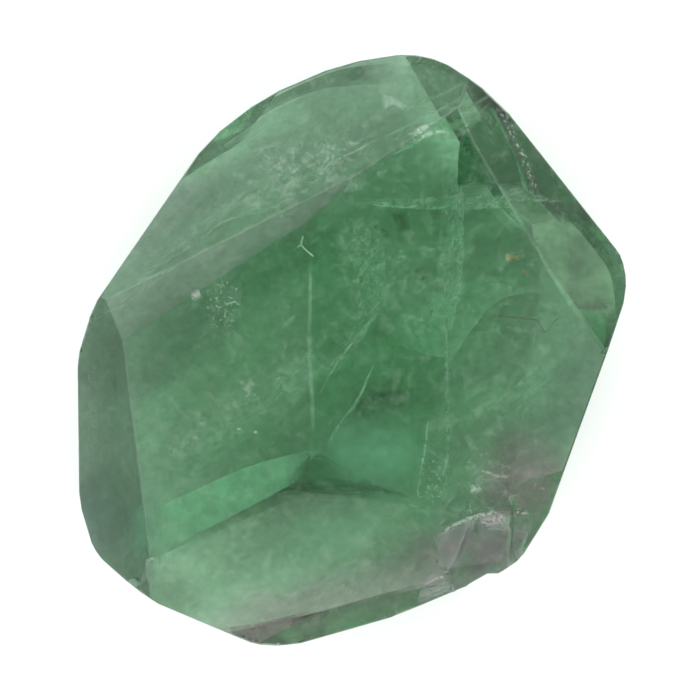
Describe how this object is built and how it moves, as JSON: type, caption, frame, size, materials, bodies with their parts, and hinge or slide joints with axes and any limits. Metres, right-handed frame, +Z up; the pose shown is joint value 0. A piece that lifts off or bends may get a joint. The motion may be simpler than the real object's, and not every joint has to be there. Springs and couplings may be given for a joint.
{
  "type": "polished rainbow fluorite",
  "caption": "Palm-sized piece of clear green and lilac fluorite, cut all round with flat polished facets and lying on its largest back facet.",
  "frame": {"origin": "centre of the bounding box at the surface that the stone lies on", "axes": "+Z up, away from the facet that it lies on; +Y towards the rounded top of the outline, which is the stone's longest extent; +X towards the pointed right side"},
  "size_m": [0.0626, 0.0672, 0.027],
  "materials": {
    "fluorite": "polished"
  },
  "bodies": {
    "root": {"fluorite": "fluorite"}
  },
  "joints": []
}
